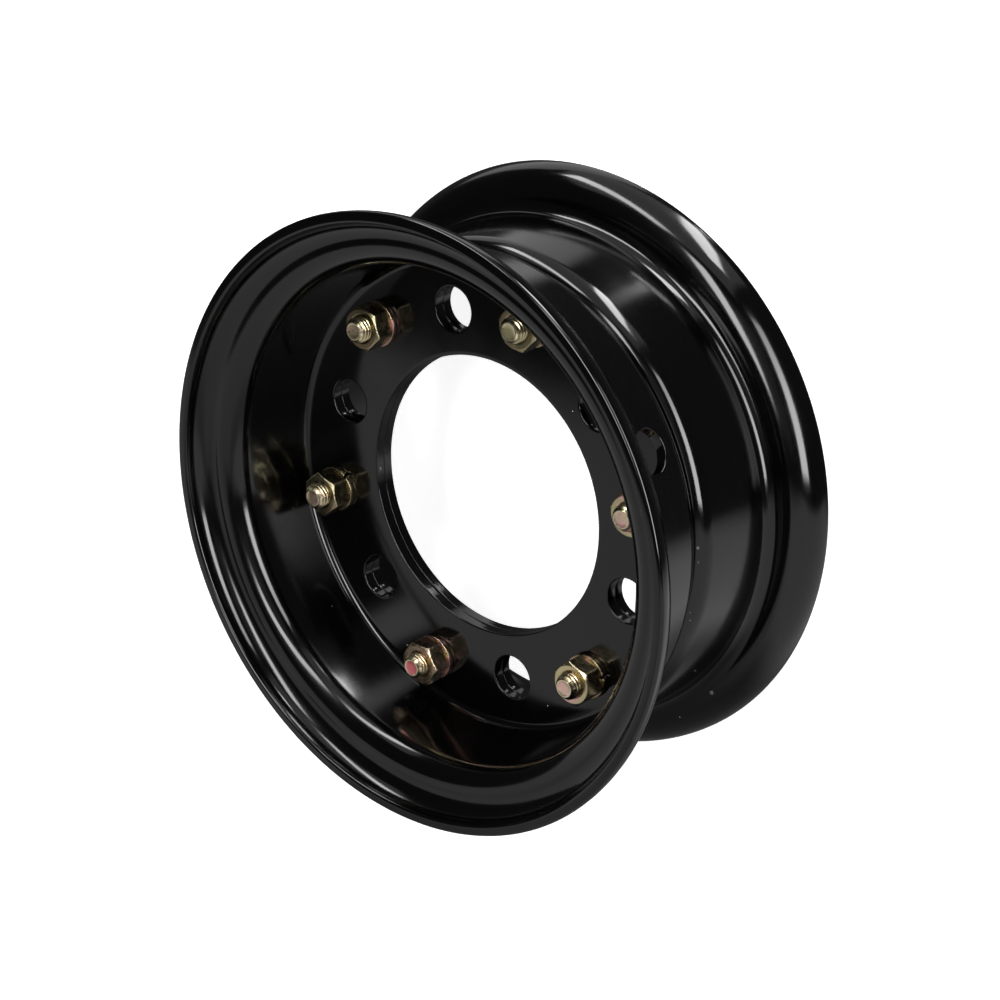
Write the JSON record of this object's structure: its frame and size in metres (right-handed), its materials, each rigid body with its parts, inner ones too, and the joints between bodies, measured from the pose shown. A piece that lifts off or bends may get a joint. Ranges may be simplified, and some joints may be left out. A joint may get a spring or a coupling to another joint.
{
  "type": "divided wheel rim",
  "caption": "Gloss black divided steel wheel rim: two pressed halves with rolled flanges clamped disc to disc by plated bolts, with a hub bore, stud holes and a valve hole.",
  "frame": {"origin": "The wheel's centre, on its axis and on the plane where the two discs meet.", "axes": "+Z is the wheel axis towards the nut side, which is also the half with the valve hole. +X passes through the axis of one clamp bolt, 15 degrees clockwise of the valve hole seen from +Z."},
  "size_m": [0.2382, 0.2382, 0.103],
  "materials": {
    "black_paint": "gloss black paint over pressed steel, with a slight orange peel",
    "yellow_zinc": "zinc plated steel with an iridescent yellow passivate"
  },
  "bodies": {
    "root": {"front_rim_half": "black_paint", "rear_rim_half": "black_paint", "spring_washers": "yellow_zinc", "clamp_nuts": "yellow_zinc", "clamp_bolts": "yellow_zinc"}
  },
  "joints": []
}
